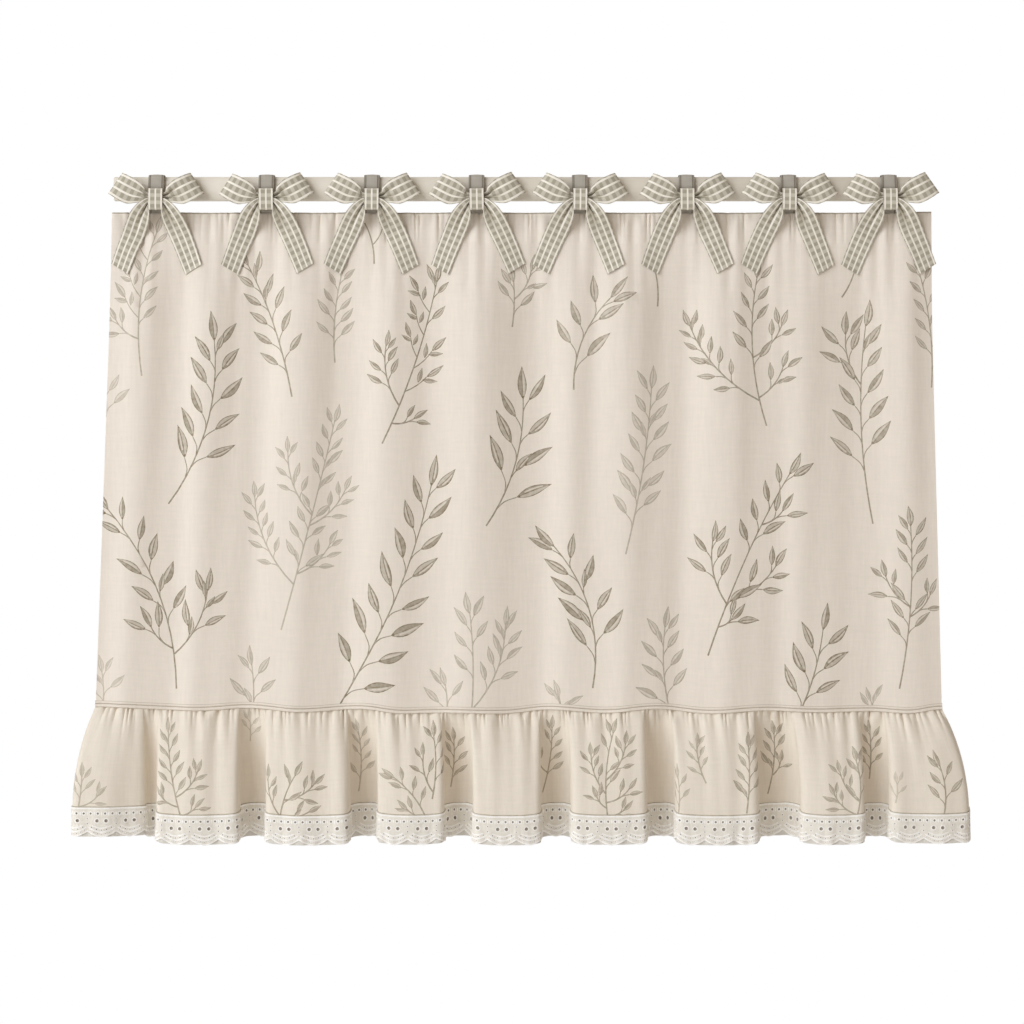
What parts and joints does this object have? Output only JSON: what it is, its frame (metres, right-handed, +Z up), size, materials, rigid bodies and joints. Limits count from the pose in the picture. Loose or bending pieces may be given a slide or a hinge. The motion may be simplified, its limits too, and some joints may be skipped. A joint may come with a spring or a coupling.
{
  "type": "oven curtain with bar",
  "caption": "Short printed linen curtain hung by fabric tabs and ribbon bows on a flat bar, with a narrow binding, a pleated ruffle and an eyelet lace edge, made to hang in front of an oven.",
  "frame": {"origin": "middle of the bar's flat back face", "axes": "+X along the bar to the right as seen from the front, +Y back towards the oven door, +Z up; the front of the curtain faces -Y"},
  "size_m": [0.6555, 0.0312, 0.4884],
  "materials": {
    "bar": "satin",
    "linen": "matte",
    "binding": "matte",
    "lace": "matte",
    "tab": "matte",
    "ribbon": "matte"
  },
  "bodies": {
    "root": {"bar": "bar", "panel": "linen", "binding": "binding", "ruffle": "linen", "lace_trim": "lace", "tab_1": "tab", "bow_loops_1": "ribbon", "bow_tails_1": "ribbon", "knot_1": "ribbon", "tab_2": "tab", "bow_loops_2": "ribbon", "bow_tails_2": "ribbon", "knot_2": "ribbon", "tab_3": "tab", "bow_loops_3": "ribbon", "bow_tails_3": "ribbon", "knot_3": "ribbon", "tab_4": "tab", "bow_loops_4": "ribbon", "bow_tails_4": "ribbon", "knot_4": "ribbon", "tab_5": "tab", "bow_loops_5": "ribbon", "bow_tails_5": "ribbon", "knot_5": "ribbon", "tab_6": "tab", "bow_loops_6": "ribbon", "bow_tails_6": "ribbon", "knot_6": "ribbon", "tab_7": "tab", "bow_loops_7": "ribbon", "bow_tails_7": "ribbon", "knot_7": "ribbon", "tab_8": "tab", "bow_loops_8": "ribbon", "bow_tails_8": "ribbon", "knot_8": "ribbon"}
  },
  "joints": []
}
